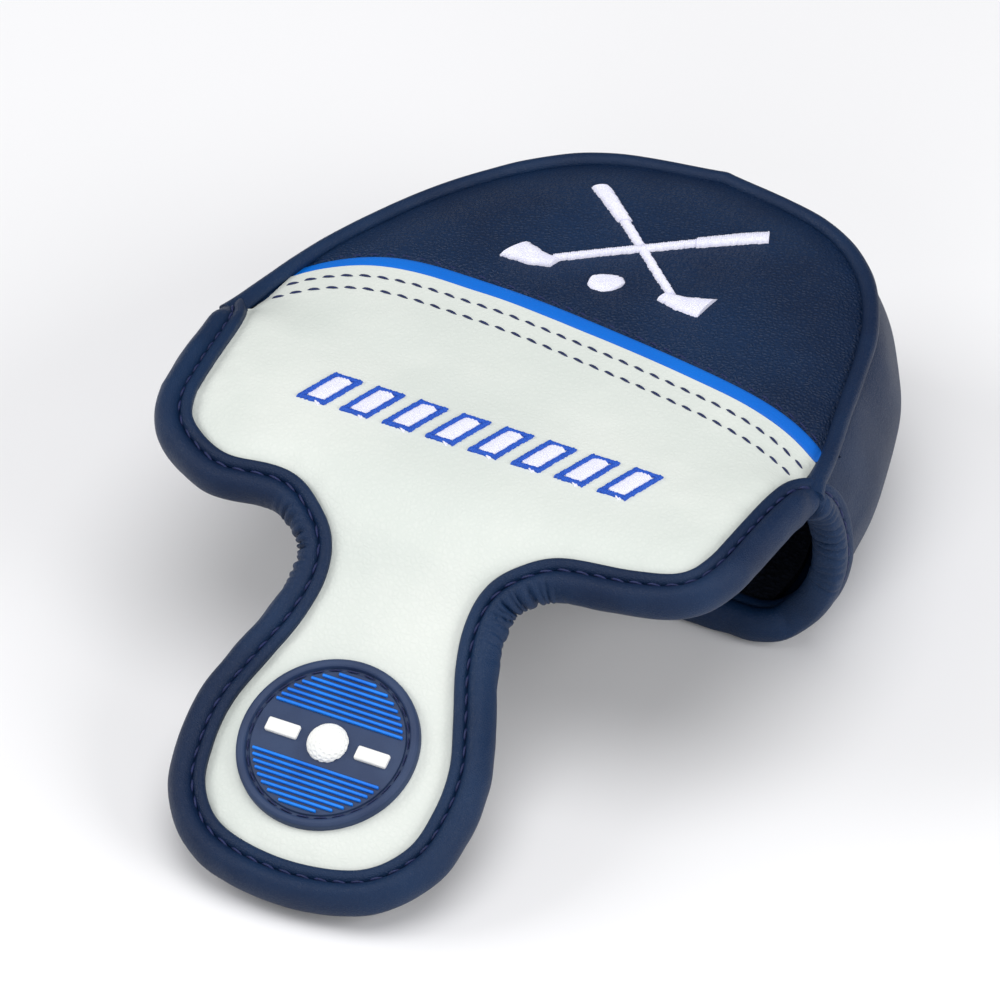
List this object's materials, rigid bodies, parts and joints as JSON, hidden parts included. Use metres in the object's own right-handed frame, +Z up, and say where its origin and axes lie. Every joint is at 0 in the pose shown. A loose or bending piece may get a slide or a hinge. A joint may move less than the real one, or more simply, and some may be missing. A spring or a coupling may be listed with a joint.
{
  "type": "putter head cover",
  "caption": "Padded D-shaped pouch for a mallet putter head, with a fold-down flap and a magnetic tongue that tucks under the sole.",
  "frame": {"origin": "middle of the footprint, on the surface that the pouch's flat sole and the tongue's tip rest on", "axes": "+Y from the tongue's tip to the closed rear of the pouch, +X to the right seen from the tongue, +Z up"},
  "size_m": [0.1296, 0.1952, 0.0494],
  "materials": {
    "navy_leather": "pebbled synthetic leather, semi-matt",
    "white_leather": "smooth synthetic leather, satin",
    "blue_leather": "smooth synthetic leather strip",
    "foam": "closed-cell foam sheet and cord",
    "pile_lining": "short knitted pile",
    "white_thread": "satin embroidery thread",
    "blue_thread": "satin embroidery thread",
    "badge_rubber": "moulded soft rubber, matt",
    "blue_rubber": "moulded soft rubber, matt",
    "white_rubber": "moulded soft rubber, matt",
    "magnet_steel": "nickel plated"
  },
  "bodies": {
    "pouch": {"crown_panel": "navy_leather", "accent_stripe": "blue_leather", "top_white_panel": "white_leather", "top_foam": "foam", "top_lining": "pile_lining", "side_wall": "navy_leather", "wall_foam": "foam", "wall_lining": "pile_lining", "top_piping": "navy_leather", "piping_cord": "foam", "sole_panel": "navy_leather", "sole_foam": "foam", "catch_plate": "magnet_steel", "sole_lining": "pile_lining", "mouth_binding": "navy_leather", "crown_emblem": "white_thread"},
    "flap": {"flap_panel": "white_leather", "flap_foam": "foam", "flap_lining": "pile_lining", "flap_binding_right": "navy_leather", "flap_binding_left": "navy_leather", "flap_embroidery": "blue_thread"},
    "tongue": {"tongue_panel": "white_leather", "tongue_foam": "foam", "tongue_lining": "pile_lining", "tongue_binding": "navy_leather", "tongue_magnet": "magnet_steel", "badge": "badge_rubber", "badge_ribs_upper": "blue_rubber", "badge_ribs_lower": "blue_rubber", "badge_ball": "white_rubber", "badge_bar_left": "white_rubber", "badge_bar_right": "white_rubber"}
  },
  "joints": [
    {"name": "flap_fold", "type": "hinge", "parent": "pouch", "child": "flap", "pos_m": [0, 0.0076, 0.0477], "axis": [1, 0, 0], "range_deg": [-60, 72]},
    {"name": "tongue_fold", "type": "hinge", "parent": "flap", "child": "tongue", "pos_m": [0, -0.0464, 0.0299], "axis": [1, 0, 0], "range_deg": [0, 79]}
  ]
}
